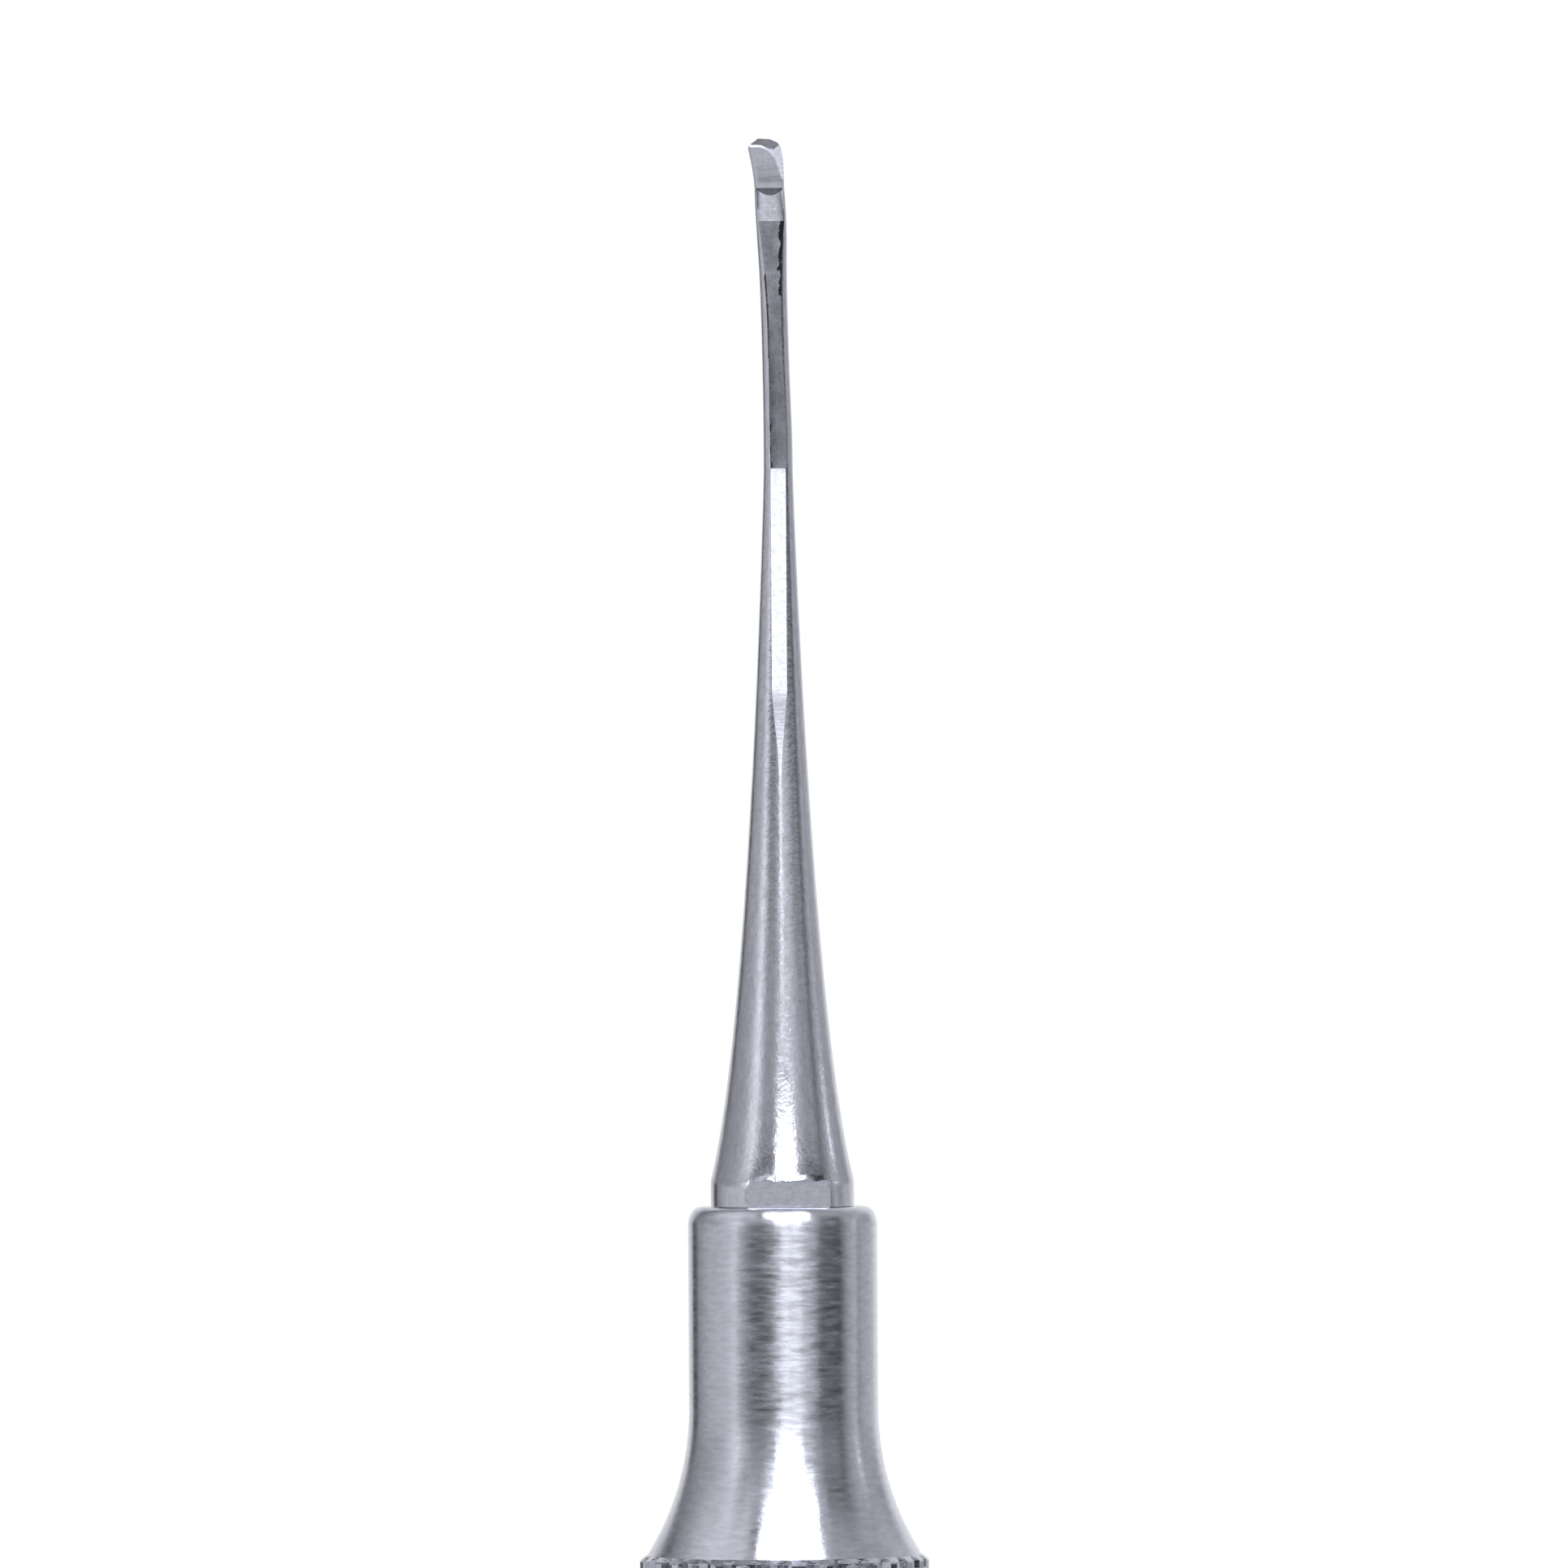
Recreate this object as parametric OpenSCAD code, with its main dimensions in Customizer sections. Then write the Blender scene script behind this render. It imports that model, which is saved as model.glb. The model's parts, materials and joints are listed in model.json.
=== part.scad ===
// Double-ended hand scaler: a hollow knurled handle with a bell-shaped nose at each end,
// and two chisel-ended working tips that screw into the noses.
// +Z runs along the handle towards the front tip, -Y is the side that the blades face,
// and the origin is the middle of the handle. Millimetres.

/* [Handle] */
// Length of the whole instrument, from blade edge to blade edge
overall_len = 175; // [150:1:190]
// Diameter over the crests of the knurling
grip_d = 9.5; // [9.2:0.1:12]
// Depth of the knurling
knurl_depth = 0.25; // [0.1:0.05:0.4]
// Wall of the hollow handle tube, measured under the knurling
tube_wall = 0.8; // [0.5:0.1:1.2]
// Length of the plain band in the middle of the grip
band_len = 5; // [2:1:10]

/* [Nose] */
// Diameter of the straight neck
neck_d = 6.2; // [5.8:0.1:7]
// Length of the nose outside the handle tube
nose_len = 11.4; // [10:0.1:16]
// Length of the straight part of the neck
neck_len = 6.6; // [4:0.1:8]
// Width of the rounding of the neck's outer rim
rim_wide = 0.4; // [0.1:0.02:0.6]
// Height of that rounding
rim_high = 0.62; // [0.2:0.02:1]
// Length of the spigot that is pressed into the handle tube
spigot_len = 7; // [4:0.5:12]

/* [Screw joint] */
// Diameter over the thread of the tip's stud
stud_d = 2.9; // [2.5:0.1:3]
// Length of the threaded stud under the conical seat
stud_len = 6.5; // [4:0.5:8]
// Largest diameter of the conical seat
seat_d = 3.8; // [3.4:0.1:4]
// Length of the conical seat
seat_len = 1; // [0.6:0.1:1.5]
// Radial play between the tip and the nose
play = 0.05; // [0.03:0.01:0.08]

/* [Tip] */
// Length of the tip outside the nose
tip_len = 35; // [33:0.5:40]
// Diameter of the root ring
root_d = 4.7; // [4.3:0.1:5]
// Length of the root ring
root_len = 0.85; // [0.6:0.05:1.5]
// Distance across the two spanner flats of the root ring
flats_w = 3.8; // [3.6:0.1:4.2]
// How far the spanner flats are turned from the blade's face, in degrees
flats_turn = 6; // [0:1:30]
// Radius of the shank where its taper ends
waist_r = 0.48; // [0.44:0.02:0.6]
// Half the width of the narrow flat along the front of the taper
strip_half_w = 0.245; // [0.15:0.005:0.3]
// Half the width of the blade near its edge
blade_half_w = 0.53; // [0.45:0.01:0.6]
// How far the blade hooks forward of the shank's axis
hook = 0.62; // [0.5:0.01:0.7]
// Depth of the hollow that is ground below the blade
hollow_depth = 0.085; // [0.04:0.005:0.12]

/* [Hidden] */

eps = 0.01;
grip_r = grip_d / 2;
root_r = root_d / 2;
neck_r = neck_d / 2;
tube_r = grip_r - knurl_depth;
bore_r = tube_r - tube_wall;
nose_z = overall_len / 2 - tip_len;
tube_end_z = nose_z - nose_len;

press_gap = 0.01;
seat_gap = 0.02;
spigot_chamfer = 0.4;
socket_r = stud_d / 2 + play;
socket_len = seat_len + stud_len + 0.6;

// The bell is an arc that leaves the neck without a kink and ends at the tube.
bell_len = nose_len - neck_len;
bell_rise = tube_r - neck_r;
bell_r = (bell_len * bell_len + bell_rise * bell_rise) / (2 * bell_rise);
bell_angle = asin(bell_len / bell_r);

// Length of the slender end above the taper, where the flat along the taper's front starts and
// the length over which that flat widens.
blade_len = 10.8;
taper_end = tip_len - blade_len;
strip_start = tip_len - 21;
strip_fade = 2.8;

// Tilt of the bevels across the blade's end, and turn and lean of its side chamfer, in degrees.
bevel_tilt = 42;
side_turn = 50;
side_lean = 12;

// The bevels across the end. Each row holds a point's X, its depth below the edge and the roll.
end_bevels = [[-0.816, 0.231, 1], [-0.43, 0.281, 27]];

// The outline of the end, seen from the front. Each row holds a point's X, its depth below the
// edge and the slope of the line through it.
end_lines = [[-0.92, 0.3, 80], [-0.601, 0, 38], [-0.6, 0, -3], [-0.215, 0.02, -23], [0.02, 0.12, -50]];

function bezier(a, b, c, d, t) =
    pow(1 - t, 3) * a + 3 * pow(1 - t, 2) * t * b + 3 * (1 - t) * t * t * c + pow(t, 3) * d;

// ---- handle ----

// Outer outline of the tube's front half, from the plain band to its end.
function tube_outline() = [
    [tube_r, band_len / 2],
    [grip_r, band_len / 2 + knurl_depth],
    [grip_r, tube_end_z - knurl_depth],
    [tube_r, tube_end_z]
];

// The hollow tube. The crests of its knurling set its outer radius.
module grip_tube() {
    front = tube_outline();
    rear = [for (i = [3:-1:0]) [front[i][0], -front[i][1]]];
    color("silver")
    rotate_extrude($fn = 128)
    polygon(concat([[bore_r, -tube_end_z]], rear, front, [[bore_r, tube_end_z]]));
}

// Half outline of the nose: spigot, bell, straight neck and rounded rim. Height 0 is its face.
function nose_outline() = concat(
    [[0, -nose_len - spigot_len],
     [bore_r - press_gap - spigot_chamfer, -nose_len - spigot_len],
     [bore_r - press_gap, -nose_len - spigot_len + spigot_chamfer],
     [bore_r - press_gap, -nose_len]],
    [for (i = [12:-1:0]) let (a = bell_angle * i / 12)
        [neck_r + bell_r * (1 - cos(a)), -neck_len - bell_r * sin(a)]],
    [for (a = [0:15:90]) [neck_r - rim_wide * (1 - cos(a)), -rim_high * (1 - sin(a))]],
    [[0, 0]]
);

// The nose has a blind threaded socket with a conical mouth, drawn at the thread's clear diameter.
module nose() {
    color("lightsteelblue")
    translate([0, 0, nose_z])
    difference() {
        rotate_extrude($fn = 128) polygon(nose_outline());
        translate([0, 0, -socket_len]) cylinder(r = socket_r, h = socket_len + 1, $fn = 64);
        translate([0, 0, -seat_len])
            cylinder(r1 = socket_r, r2 = seat_d / 2 + play, h = seat_len + eps, $fn = 64);
    }
}

// ---- tip ----

// Cross-sections of the blade end. Each row holds the distance below the cutting edge, the
// centre's shift in X and in Y, the half width, the half depth in front and behind, the
// squareness, the Y of the ground front face and how much deeper that face is in its middle.
blade_stations = [
    [blade_len, 0, 0, waist_r, waist_r, waist_r, 2, strip_y(waist_r, strip_half_w), 0],
    [blade_len - 0.02, 0, 0, waist_r, waist_r, waist_r, 2, -0.39, 0],
    [9.5, -0.01, 0, 0.47, 0.475, 0.475, 2, -0.385, 0],
    [8, -0.045, 0, 0.45, 0.46, 0.45, 2, -0.385, 0],
    [6, -0.093, 0, 0.44, 0.45, 0.44, 2, -0.385, 0],
    [4.5, -0.13, 0, 0.455, 0.45, 0.44, 2.3, -0.38, 0],
    [3.2, -0.165, 0, 0.495, 0.45, 0.43, 3, -0.374, 0],
    [2.7, -0.185, 0, 0.5, 0.45, 0.43, 4, -0.372, 0],
    [2.3, -0.205, 0, 0.505, 0.45, 0.42, 4, -0.371, hollow_depth / 2],
    [1.86, -0.224, 0, 0.5, 0.46, 0.4, 4, -0.37, hollow_depth],
    [1.62, -0.235, -0.02, 0.49, 0.48, 0.38, 4, -0.42, 0.01],
    [1.2, -0.26, -0.08, 0.505, 0.5, 0.36, 4, -0.485, 0.01],
    [0.75, -0.31, -0.17, blade_half_w, 0.48, 0.3, 4, -0.555, 0.012],
    [0.345, -0.385, -0.27, blade_half_w + 0.01, 0.45, 0.22, 4, -hook, 0],
    [-0.1, -0.47, -0.39, blade_half_w - 0.02, 0.4, 0.15, 4, -hook - 0.07, 0]
];

// Mesh steps across the front face, round the back and along the taper.
front_points = 8;
arc_points = 20;
taper_steps = 24;

// Radius and height along the tapering shank: one curve from the root ring to the waist.
function taper_point(t) = [
    bezier(root_r, 0.97, 0.45, waist_r, t),
    bezier(root_len, root_len + 5.35, taper_end + 0.5, taper_end, t)
];

// Y of a flat of half width w on the front of a round shank.
function strip_y(r, w) = -sqrt(r * r - w * w);

// Depth of the superellipse with half axes a and b at the offset x from its middle.
function curve_y(x, a, b, n) = b * pow(max(0, 1 - pow(abs(x) / a, n)), 1 / n);

// Half width of the front face, where its plane cuts the curve. It never shrinks to nothing.
function face_half_w(a, b, n, y) = max(0.15 * a, curve_y(min(y, b), b, a, n));

// One closed ring: the ground front face from left to right, then the arc round the back.
function ring(h, x, y, a, front, back, n, plane, dip) =
    let (w = face_half_w(a, front, n, y - plane),
         corner = atan2(curve_y(w, a, 1, n), w / a),
         sweep = 180 + 2 * corner)
    concat(
        [for (i = [0:front_points])
            let (u = 2 * i / front_points - 1)
            [x + u * w, max(y - curve_y(u * w, a, front, n), plane + dip * (1 - pow(u, 6))), h]],
        [for (i = [1:arc_points])
            let (v = sweep * i / (arc_points + 1) - corner, c = cos(v), s = sin(v),
                 k = pow(pow(abs(c), n) + pow(abs(s), n), -1 / n))
            [x + a * k * c, y + (s < 0 ? front : back) * k * s, h]]
    );

// The round shank. A narrow flat widens on its front above strip_start.
function taper_ring(r, h) =
    let (w = strip_half_w * min(1, max(0, (h - strip_start) / strip_fade)))
    ring(h, 0, 0, r, r, r, 2, strip_y(r, w), 0);

function blade_ring(s) =
    ring(tip_len - s[0], s[1], s[2], s[3], s[4], s[5], s[6], s[7], s[8]);

// Values between two neighbouring stations, so that the blade's outline has no kinks.
function between(s, t) =
    let (p0 = blade_stations[max(s - 1, 0)], p1 = blade_stations[s],
         p2 = blade_stations[s + 1], p3 = blade_stations[min(s + 2, len(blade_stations) - 1)])
    0.5 * (2 * p1 + (p2 - p0) * t + (2 * p0 - 5 * p1 + 4 * p2 - p3) * t * t
           + (3 * p1 - p0 - 3 * p2 + p3) * t * t * t);

// Rings joined into one closed solid.
module loft(rings) {
    last = len(rings) - 1;
    sides = len(rings[0]);
    polyhedron(
        points = [for (r = rings) each r],
        faces = concat(
            [[for (i = [0:sides - 1]) i]],
            [for (k = [0:last - 1], i = [0:sides - 1])
                let (j = (i + 1) % sides, p = k * sides, q = p + sides)
                each [[p + i, q + i, q + j], [p + i, q + j, p + j]]],
            [[for (i = [sides - 1:-1:0]) last * sides + i]]
        )
    );
}

// The shank and the blade before their end is ground. The foot stays inside the root ring, and
// the taper starts a little narrower than the ring. The blade has half steps where it leans most.
module shank_blank() {
    foot_r = flats_w / 2 - 0.1;
    foot = ring(root_len - 0.05, 0, 0, foot_r, foot_r, foot_r, 2, -root_r, 0);
    taper = [for (i = [0:taper_steps - 1]) let (p = taper_point(i / taper_steps))
        taper_ring(p[0] - (i == 0 ? 0.02 : 0), p[1])];
    last = len(blade_stations) - 1;
    blade = [for (s = [0:last - 1], t = s > 2 && s < 6 ? [0, 0.5] : [0])
        blade_ring(t == 0 ? blade_stations[s] : between(s, t))];
    loft(concat([foot], taper, blade, [blade_ring(blade_stations[last])]));
}

// A block that takes away everything in front of a plane through the origin that faces -Y.
module grinding_block(w = 3, h = 3) {
    translate([-w / 2, -w, -h / 2]) cube([w, w, h]);
}

// The bevels that make the cutting edge across the blade's end.
module end_bevel() {
    for (bevel = end_bevels)
        translate([bevel[0], -hook, tip_len - bevel[1]])
        rotate([0, bevel[2], 0])
        rotate([bevel_tilt - 90, 0, 0])
        grinding_block();
}

// The long chamfer on the blade's right side.
module side_chamfer() {
    translate([-0.07, -hook + 0.04, tip_len - 0.65])
        rotate([0, -side_lean, 0])
        rotate([0, 0, side_turn])
        grinding_block(2, 2.4);
}

// Everything above the end's outline.
module end_outline() {
    for (line = end_lines)
        translate([line[0], 0, tip_len - line[1]])
        rotate([0, -line[2], 0])
        translate([-2, -2, 0]) cube([4, 4, 1]);
}

module root() {
    difference() {
        translate([0, 0, seat_gap]) cylinder(r = root_r, h = root_len - seat_gap, $fn = 96);
        for (side = [0, 180])
            rotate([0, 0, flats_turn + side])
            translate([-3, -flats_w / 2 - 3, -1]) cube([6, 3, root_len + 1 - eps]);
    }
    translate([0, 0, -seat_len])
        cylinder(r1 = stud_d / 2, r2 = seat_d / 2, h = seat_len + seat_gap + eps, $fn = 64);
    translate([0, 0, -seat_len - stud_len])
        cylinder(r = stud_d / 2, h = stud_len + eps, $fn = 64);
}

module tip() {
    color("gainsboro")
    translate([0, 0, nose_z]) {
        root();
        difference() {
            shank_blank();
            end_bevel();
            side_chamfer();
            end_outline();
        }
    }
}

// ---- nodes ----

grip_tube();
nose();  // front_nose
mirror([0, 0, 1]) nose();  // rear_nose
tip();  // front_tip
mirror([0, 0, 1]) tip();  // rear_tip
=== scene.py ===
import json
import math

import bmesh
import bpy
from mathutils import Matrix, Vector, noise


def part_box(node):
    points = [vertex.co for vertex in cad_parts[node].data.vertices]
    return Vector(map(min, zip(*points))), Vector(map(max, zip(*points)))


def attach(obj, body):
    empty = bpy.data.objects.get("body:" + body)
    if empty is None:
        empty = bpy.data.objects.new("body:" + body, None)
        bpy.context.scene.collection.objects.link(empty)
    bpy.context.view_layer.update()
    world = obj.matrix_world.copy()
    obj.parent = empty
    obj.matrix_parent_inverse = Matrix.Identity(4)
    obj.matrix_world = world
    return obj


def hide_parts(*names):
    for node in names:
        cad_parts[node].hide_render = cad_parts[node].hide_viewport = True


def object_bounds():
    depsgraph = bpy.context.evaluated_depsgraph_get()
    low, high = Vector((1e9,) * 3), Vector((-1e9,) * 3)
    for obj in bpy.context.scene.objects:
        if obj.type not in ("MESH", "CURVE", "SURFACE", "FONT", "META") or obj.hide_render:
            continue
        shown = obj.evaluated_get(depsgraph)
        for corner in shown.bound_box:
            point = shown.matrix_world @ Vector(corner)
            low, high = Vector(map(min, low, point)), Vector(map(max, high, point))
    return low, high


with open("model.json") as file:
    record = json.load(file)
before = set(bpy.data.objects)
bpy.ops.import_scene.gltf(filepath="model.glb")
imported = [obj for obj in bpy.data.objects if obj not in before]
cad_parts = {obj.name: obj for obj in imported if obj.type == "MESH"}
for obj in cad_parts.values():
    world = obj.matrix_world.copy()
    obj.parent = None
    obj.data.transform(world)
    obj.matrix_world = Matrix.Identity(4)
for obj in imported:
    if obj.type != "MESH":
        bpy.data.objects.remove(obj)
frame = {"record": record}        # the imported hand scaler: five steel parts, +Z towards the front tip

# ---------------------------------------------------------------- sizes, in millimetres

MM = 0.001
CAD_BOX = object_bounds()

NOSE_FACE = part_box("front_nose")[1].z / MM      # height of the nose's outer face
SPIGOT_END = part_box("front_nose")[0].z / MM     # height of the spigot's inner end
TUBE_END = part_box("grip_tube")[1].z / MM        # height where the knurled tube ends
TIP_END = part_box("front_tip")[1].z / MM         # height of the cutting edge
STUD_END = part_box("front_tip")[0].z / MM        # height of the stud's inner end
CREST_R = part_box("grip_tube")[1].x / MM         # radius over the knurling's crests
NECK_R = next(m for m in frame["record"]["mounts"] if m["name"] == "front_neck")["dims"]["r_mm"]

TIP_LEN = TIP_END - NOSE_FACE
NOSE_LEN = NOSE_FACE - TUBE_END
KNURL_DEPTH = 0.25
TUBE_R = CREST_R - KNURL_DEPTH
BORE_R = TUBE_R - 0.8
BAND_HALF = 2.5                                 # half the plain band in the middle of the grip
NECK_LEN = 6.6
RIM_WIDE, RIM_HIGH = 0.4, 0.62                  # the rounding of the nose's rim is an upright ellipse
ROOT_R = 2.35
ROOT_LEN = 0.85
WRENCH_HALF = 1.9                               # half the distance across the spanner flats
WRENCH_TURN = math.radians(6)
SEAT_LEN = 1.0
SEAT_R = 1.9
STUD_R = 1.45
THREAD_PITCH = 0.5
THREAD_DEPTH = 0.22
SOCKET_PLAY = 0.05
SOCKET_TIP = 0.6                                # how much deeper the socket is than the stud
PRESS_GAP = 0.01                                # between the spigot and the tube's bore
SPIGOT_CHAMFER = 0.4
CORE_R = 0.01                                   # where a turned outline meets its axis


# ---------------------------------------------------------------- mesh helpers

def piece(name, rings, body, node, materials, closed=False, flip=False, finish=None):
    """A closed mesh piece from rings of points in millimetres. closed joins the last ring to the
    first. finish(i) picks the material of the faces at place i."""
    count, sides = len(rings), len(rings[0])
    points = [Vector(p) * MM for ring in rings for p in ring]
    steps = count if closed else count - 1
    faces = []
    for k in range(steps):
        for i in range(sides):
            j = (i + 1) % sides
            p, q = k * sides, (k + 1) % count * sides
            faces.append((p + i, p + j, q + j, q + i))
    if not closed:
        faces.append(tuple(range(sides))[::-1])
        faces.append(tuple((count - 1) * sides + i for i in range(sides)))
    if flip:
        faces = [f[::-1] for f in faces]
    mesh = bpy.data.meshes.new(name)
    mesh.from_pydata(points, [], faces)
    if finish:
        for face in mesh.polygons[:steps * sides]:
            face.material_index = finish(face.index % sides)
    return add_piece(name, mesh, body, node, materials)


def add_piece(name, mesh, body, node, materials):
    obj = bpy.data.objects.new(name, mesh)
    bpy.context.scene.collection.objects.link(obj)
    for material in materials:
        mesh.materials.append(material)
    shade(mesh)
    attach(obj, body)
    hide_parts(node)
    return obj


def shade(mesh, angle=math.radians(18)):
    """Smooth faces, with sharp edges where the surface turns by more than the angle or changes material."""
    work = bmesh.new()
    work.from_mesh(mesh)
    for face in work.faces:
        face.smooth = True
    for edge in work.edges:
        kinds = {face.material_index for face in edge.link_faces}
        edge.smooth = len(kinds) == 1 and edge.calc_face_angle(0) < angle
    work.to_mesh(mesh)
    work.free()


def circle(r, z, sides=192):
    return [(r * math.cos(t), r * math.sin(t), z)
            for t in (2 * math.pi * i / sides for i in range(sides))]


def lathe(name, outline, body, node, materials, flip=False):
    """A turned piece from an outline of (radius, height) points, in millimetres."""
    return piece(name, [circle(r, z) for r, z in outline], body, node, materials, flip=flip)


def mirrored(outline):
    return [(r, -z) for r, z in outline]


def mix(a, b, t):
    return a + (b - a) * t


# ---------------------------------------------------------------- shader helpers

def socket(tree, target, value):
    """Sets an input to a number, colour or vector, or links it to another node's output."""
    if isinstance(value, bpy.types.NodeSocket):
        tree.links.new(value, target)
    elif value is not None:
        target.default_value = value


def make(tree, kind, inputs=(), **settings):
    """A shader node of a kind, with its inputs by name or number and its settings."""
    made = tree.nodes.new("ShaderNode" + kind)
    for key, value in settings.items():
        setattr(made, key, value)
    for key, value in dict(inputs).items():
        socket(tree, made.inputs[key], value)
    return made


def calc(tree, operation, a, b=None, c=None):
    made = make(tree, "Math", {0: a, 1: b, 2: c}, operation=operation)
    return made.outputs[0]


def product(tree, first, *others):
    for other in others:
        first = calc(tree, "MULTIPLY", first, other)
    return first


def blend_values(tree, factor, a, b):
    made = make(tree, "Mix", {"Factor": factor, "A": a, "B": b}, data_type="FLOAT")
    return made.outputs[0]


def step_between(tree, value, low, high):
    """A smooth step from 0 at low to 1 at high. low may be the larger one."""
    made = make(tree, "MapRange", {"Value": value, "From Min": low, "From Max": high},
                interpolation_type="SMOOTHSTEP")
    return made.outputs[0]


def spread(tree, value, low, high):
    """Spreads the middle part of a noise evenly over the range from low to high."""
    made = make(tree, "MapRange", {"Value": value, "From Min": 0.3, "From Max": 0.7,
                                   "To Min": low, "To Max": high})
    return made.outputs[0]


def ramp(tree, value, stops):
    """A colour ramp of grey or colour stops."""
    made = make(tree, "ValToRGB", {"Fac": value})
    elements = made.color_ramp.elements
    while len(elements) < len(stops):
        elements.new(1.0)
    for element, (place, level) in zip(elements, stops):
        element.position = place
        colour = level if isinstance(level, tuple) else (level,) * 3
        element.color = (*colour, 1.0)
    return made.outputs[0]


def coordinates(tree, scale):
    """Object coordinates in millimetres, times a scale for each axis."""
    where = make(tree, "TexCoord").outputs["Object"]
    return make(tree, "Mapping", {"Vector": where, "Scale": [s / MM for s in scale]}).outputs[0]


def noise_value(tree, scale, detail=3.0, roughness=0.5):
    vector = coordinates(tree, scale)
    made = make(tree, "TexNoise", {"Vector": vector, "Scale": 1.0, "Detail": detail,
                                   "Roughness": roughness})
    return made.outputs[0]


def bump(tree, height, depth, normal=None):
    """Bump with its full depth in millimetres."""
    return make(tree, "Bump", {"Height": height, "Distance": depth * MM, "Strength": 1.0,
                               "Normal": normal}).outputs[0]


# ---------------------------------------------------------------- materials

STEEL = (0.585, 0.6, 0.69)


def steel_shader(name, colour, roughness, normal, anisotropic=0.0, tangent=None):
    """Bare stainless steel. colour, roughness, normal and tangent are functions that build that input."""
    material = bpy.data.materials.new(name)
    material.use_nodes = True
    tree = material.node_tree
    tree.nodes.clear()
    shader = make(tree, "BsdfPrincipled", {"Metallic": 1.0, "Anisotropic": anisotropic,
                                           "Anisotropic Rotation": 0.25})
    out = make(tree, "OutputMaterial")
    tree.links.new(shader.outputs[0], out.inputs[0])
    socket(tree, shader.inputs["Base Color"], colour(tree))
    socket(tree, shader.inputs["Roughness"], roughness(tree))
    socket(tree, shader.inputs["Normal"], normal(tree))
    if tangent:
        socket(tree, shader.inputs["Tangent"], tangent(tree))
    return material


def shades(tone, contrast):
    """Two steel colours around a tone, darker first."""
    return [(0.25, tuple(c * tone * (1 - contrast) for c in STEEL)),
            (0.75, tuple(c * tone * (1 + contrast) for c in STEEL))]


def round_tangent(tree):
    return make(tree, "Tangent", direction_type="RADIAL", axis="Z").outputs[0]


def turned_steel():
    """Fine satin left by turning: short scratches that run round the axis."""
    def colour(tree):
        return ramp(tree, noise_value(tree, (2, 2, 7), 4), shades(1.0, 0.12))

    def roughness(tree):
        return spread(tree, noise_value(tree, (1.4, 1.4, 7), 3), 0.17, 0.3)

    def normal(tree):
        fine = bump(tree, noise_value(tree, (2.2, 2.2, 7.5), 3, 0.55), 0.004)
        return bump(tree, noise_value(tree, (6, 6, 6), 3), 0.002, fine)

    return steel_shader("turned_steel", colour, roughness, normal, 0.93, round_tangent)


def polished_steel():
    """The hand-polished shank: a gloss that is finely pebbled and streaked along its length."""
    def colour(tree):
        return ramp(tree, noise_value(tree, (5, 5, 2.5), 5, 0.6), shades(0.98, 0.12))

    def roughness(tree):
        return spread(tree, noise_value(tree, (4, 4, 2), 3), 0.1, 0.2)

    def normal(tree):
        streaks = bump(tree, noise_value(tree, (9, 9, 0.6), 3), 0.0012)
        dents = bump(tree, noise_value(tree, (1.5, 1.5, 1.1), 2), 0.007, streaks)
        return bump(tree, noise_value(tree, (6, 6, 5), 4, 0.6), 0.008, dents)

    return steel_shader("polished_steel", colour, roughness, normal)


def ground_steel():
    """The blade's ground faces: light and finely scratched across."""
    def colour(tree):
        return ramp(tree, noise_value(tree, (5, 5, 9), 4, 0.65), shades(0.92, 0.16))

    def roughness(tree):
        return spread(tree, noise_value(tree, (8, 8, 8), 3), 0.1, 0.17)

    def normal(tree):
        return bump(tree, noise_value(tree, (2, 2, 16), 3, 0.5), 0.0008)

    return steel_shader("ground_steel", colour, roughness, normal)


def place_on_flat(tree):
    """X, the distance below the cutting edge, and the distance from the flat's left border, which leans."""
    x, _, z = make(tree, "SeparateXYZ", {0: coordinates(tree, (1, 1, 1))}).outputs
    below = calc(tree, "SUBTRACT", TIP_END, calc(tree, "ABSOLUTE", z))
    from_left = calc(tree, "ADD", x, calc(tree, "MULTIPLY_ADD", below, -0.02, 0.45))
    return x, below, from_left


def border_marks(tree, x, below, from_left):
    """A noise that is raised along the flat's right border and below the step in its left border."""
    on_right = product(tree, step_between(tree, x, -0.05, 0.16), step_between(tree, below, 8.5, 3.5),
                       step_between(tree, below, 2.3, 2.6))
    on_left = product(tree, step_between(tree, from_left, 0.08, 0.03), step_between(tree, below, 4.1, 5))
    beside = calc(tree, "MAXIMUM", on_right, calc(tree, "MULTIPLY", on_left, 0.5))
    return calc(tree, "MULTIPLY_ADD", beside, 0.3, noise_value(tree, (6, 6, 3), 4, 0.6))


def milled_steel_painted_dark():
    """The milled flats: mottled, with painted dark reflection and black marks along their borders."""
    def colour(tree):
        x, below, from_left = place_on_flat(tree)
        # darker near the flat's left border, more than 5 to 8 mm below the cutting edge
        left_border_darkening = product(tree, step_between(tree, from_left, 0.3, 0), step_between(tree, below, 5, 8))
        patches = calc(tree, "MULTIPLY_ADD", left_border_darkening, -0.2, noise_value(tree, (2, 2, 1.3), 6, 0.7))
        # the low tone of these shades is painted dark reflection
        mottled = ramp(tree, patches, shades(0.4, 0.4))
        # black marks along the flat's borders
        black = step_between(tree, border_marks(tree, x, below, from_left), 0.68, 0.72)
        return make(tree, "Mix", {"Factor": black, 6: mottled, 7: (0.02, 0.02, 0.025, 1)},
                    data_type="RGBA").outputs[2]

    def roughness(tree):
        return spread(tree, noise_value(tree, (8, 8, 8), 3), 0.14, 0.24)

    def normal(tree):
        return bump(tree, noise_value(tree, (5, 5, 7), 4, 0.5), 0.0008)

    return steel_shader("milled_steel_painted_dark", colour, roughness, normal)


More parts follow.
